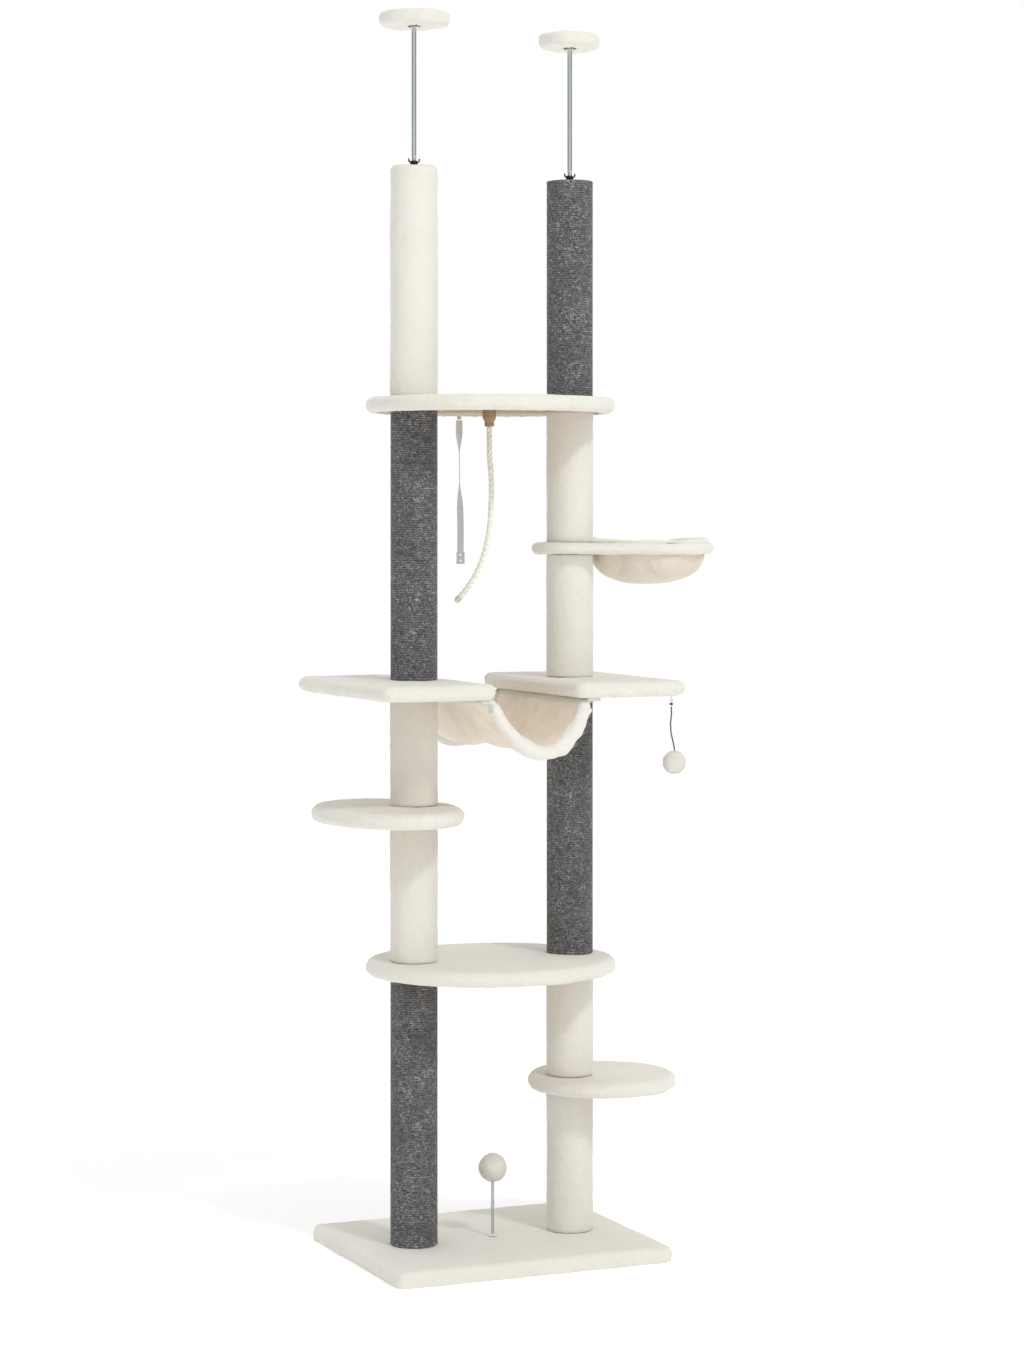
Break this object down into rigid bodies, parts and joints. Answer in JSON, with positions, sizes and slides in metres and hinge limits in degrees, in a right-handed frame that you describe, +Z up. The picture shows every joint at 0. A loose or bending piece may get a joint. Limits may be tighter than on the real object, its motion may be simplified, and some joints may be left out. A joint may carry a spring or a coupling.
{
  "type": "floor-to-ceiling cat tree",
  "caption": "Tall cat tree on twin wrapped posts with ceiling tensioners, padded platforms, a sling, a bowl seat and hanging toys.",
  "frame": {"origin": "middle of the base's flat underside, on the floor", "axes": "+Z up along the posts, +X along the base's long side towards the bowl seat, -Y towards the front"},
  "size_m": [0.869, 0.517, 2.535],
  "materials": {
    "plush": "short-pile cream plush",
    "sisal": "dark grey sisal rope, wound",
    "board": "bare particle board",
    "tube": "wound cardboard",
    "steel": "zinc plated",
    "dark_steel": "black oxide",
    "cord": "dark elastic cord",
    "rope": "twisted cream rope",
    "knob": "turned, stained brown",
    "strap": "grey webbing"
  },
  "bodies": {
    "root": {"base_board": "board", "base_cover": "plush", "base_bolts": "steel", "left_post_tubes": "tube", "right_post_tubes": "tube", "post_end_plugs": "board", "joining_studs": "steel", "left_sisal_lower": "sisal", "left_plush_lower": "plush", "left_plush_middle": "plush", "left_sisal_upper": "sisal", "left_plush_top": "plush", "right_plush_base": "plush", "right_plush_lower": "plush", "right_sisal_middle": "sisal", "right_plush_middle": "plush", "right_plush_upper": "plush", "right_sisal_top": "sisal", "lower_oval_board": "board", "lower_oval_cover": "plush", "upper_oval_board": "board", "upper_oval_cover": "plush", "left_step_board": "board", "left_step_cover": "plush", "right_step_board": "board", "right_step_cover": "plush", "left_perch_board": "board", "left_perch_cover": "plush", "right_perch_board": "board", "right_perch_cover": "plush", "bowl_board": "board", "bowl_cover": "plush", "bowl_basket": "plush", "hammock": "plush", "hammock_screws": "steel", "guide_bushes": "steel", "toy_foot": "steel", "pompom_staple": "steel", "rope_knob": "knob", "strap_screw": "steel"},
    "left_tensioner": {"left_rod": "steel"},
    "left_ceiling_pad": {"left_pad_board": "board", "left_pad_cover": "plush", "left_pad_flange": "steel"},
    "left_nut": {"left_wing_nut": "dark_steel"},
    "right_tensioner": {"right_rod": "steel"},
    "right_ceiling_pad": {"right_pad_board": "board", "right_pad_cover": "plush", "right_pad_flange": "steel"},
    "right_nut": {"right_wing_nut": "dark_steel"},
    "spring_stem": {"toy_spring": "steel"},
    "spring_ball": {"toy_ball": "plush"},
    "pompom_link": {"pompom_knot": "cord"},
    "pompom_hang": {"pompom_cord": "cord", "pompom": "plush"},
    "rope_link": {"rope_knot": "rope"},
    "rope_hang": {"play_rope": "rope"},
    "strap_hang": {"wall_strap": "strap", "strap_plate": "steel"}
  },
  "joints": [
    {"name": "left_rod_slide", "type": "slide", "parent": "root", "child": "left_tensioner", "axis": [0, 0, 1], "range_m": [-0.16, 0.09]},
    {"name": "left_pad_swivel", "type": "hinge", "parent": "left_tensioner", "child": "left_ceiling_pad", "pos_m": [-0.174, -0.014, 2.503], "axis": [0, 0, 1], "continuous": true},
    {"name": "left_nut_turn", "type": "hinge", "parent": "root", "child": "left_nut", "pos_m": [-0.174, -0.014, 2.223], "axis": [0, 0, 1], "continuous": true},
    {"name": "right_rod_slide", "type": "slide", "parent": "root", "child": "right_tensioner", "axis": [0, 0, 1], "range_m": [-0.16, 0.09]},
    {"name": "right_pad_swivel", "type": "hinge", "parent": "right_tensioner", "child": "right_ceiling_pad", "pos_m": [0.174, -0.014, 2.477], "axis": [0, 0, 1], "continuous": true},
    {"name": "right_nut_turn", "type": "hinge", "parent": "root", "child": "right_nut", "pos_m": [0.174, -0.014, 2.207], "axis": [0, 0, 1], "continuous": true},
    {"name": "spring_lean", "type": "hinge", "parent": "root", "child": "spring_stem", "pos_m": [0, -0.014, 0.0354], "axis": [0, 1, 0], "range_deg": [-20, 20], "stiffness_Nm_per_rad": 0.6},
    {"name": "ball_nod", "type": "hinge", "parent": "spring_stem", "child": "spring_ball", "pos_m": [0, -0.014, 0.1494], "axis": [1, 0, 0], "range_deg": [-25, 25], "stiffness_Nm_per_rad": 0.3},
    {"name": "pompom_swing_y", "type": "hinge", "parent": "root", "child": "pompom_link", "pos_m": [0.298, -0.238, 1.1292], "axis": [1, 0, 0], "range_deg": [-50, 50]},
    {"name": "pompom_swing_x", "type": "hinge", "parent": "pompom_link", "child": "pompom_hang", "pos_m": [0.298, -0.238, 1.1292], "axis": [0, 1, 0], "range_deg": [-50, 50]},
    {"name": "rope_swing_y", "type": "hinge", "parent": "root", "child": "rope_link", "pos_m": [-0.005, -0.008, 1.6852], "axis": [1, 0, 0], "range_deg": [-35, 20]},
    {"name": "rope_swing_x", "type": "hinge", "parent": "rope_link", "child": "rope_hang", "pos_m": [-0.005, -0.008, 1.6852], "axis": [0, 1, 0], "range_deg": [-19, 7]},
    {"name": "strap_swing", "type": "hinge", "parent": "root", "child": "strap_hang", "pos_m": [0.017, 0.205, 1.713], "axis": [1, 0, 0], "range_deg": [-25, 80]}
  ]
}
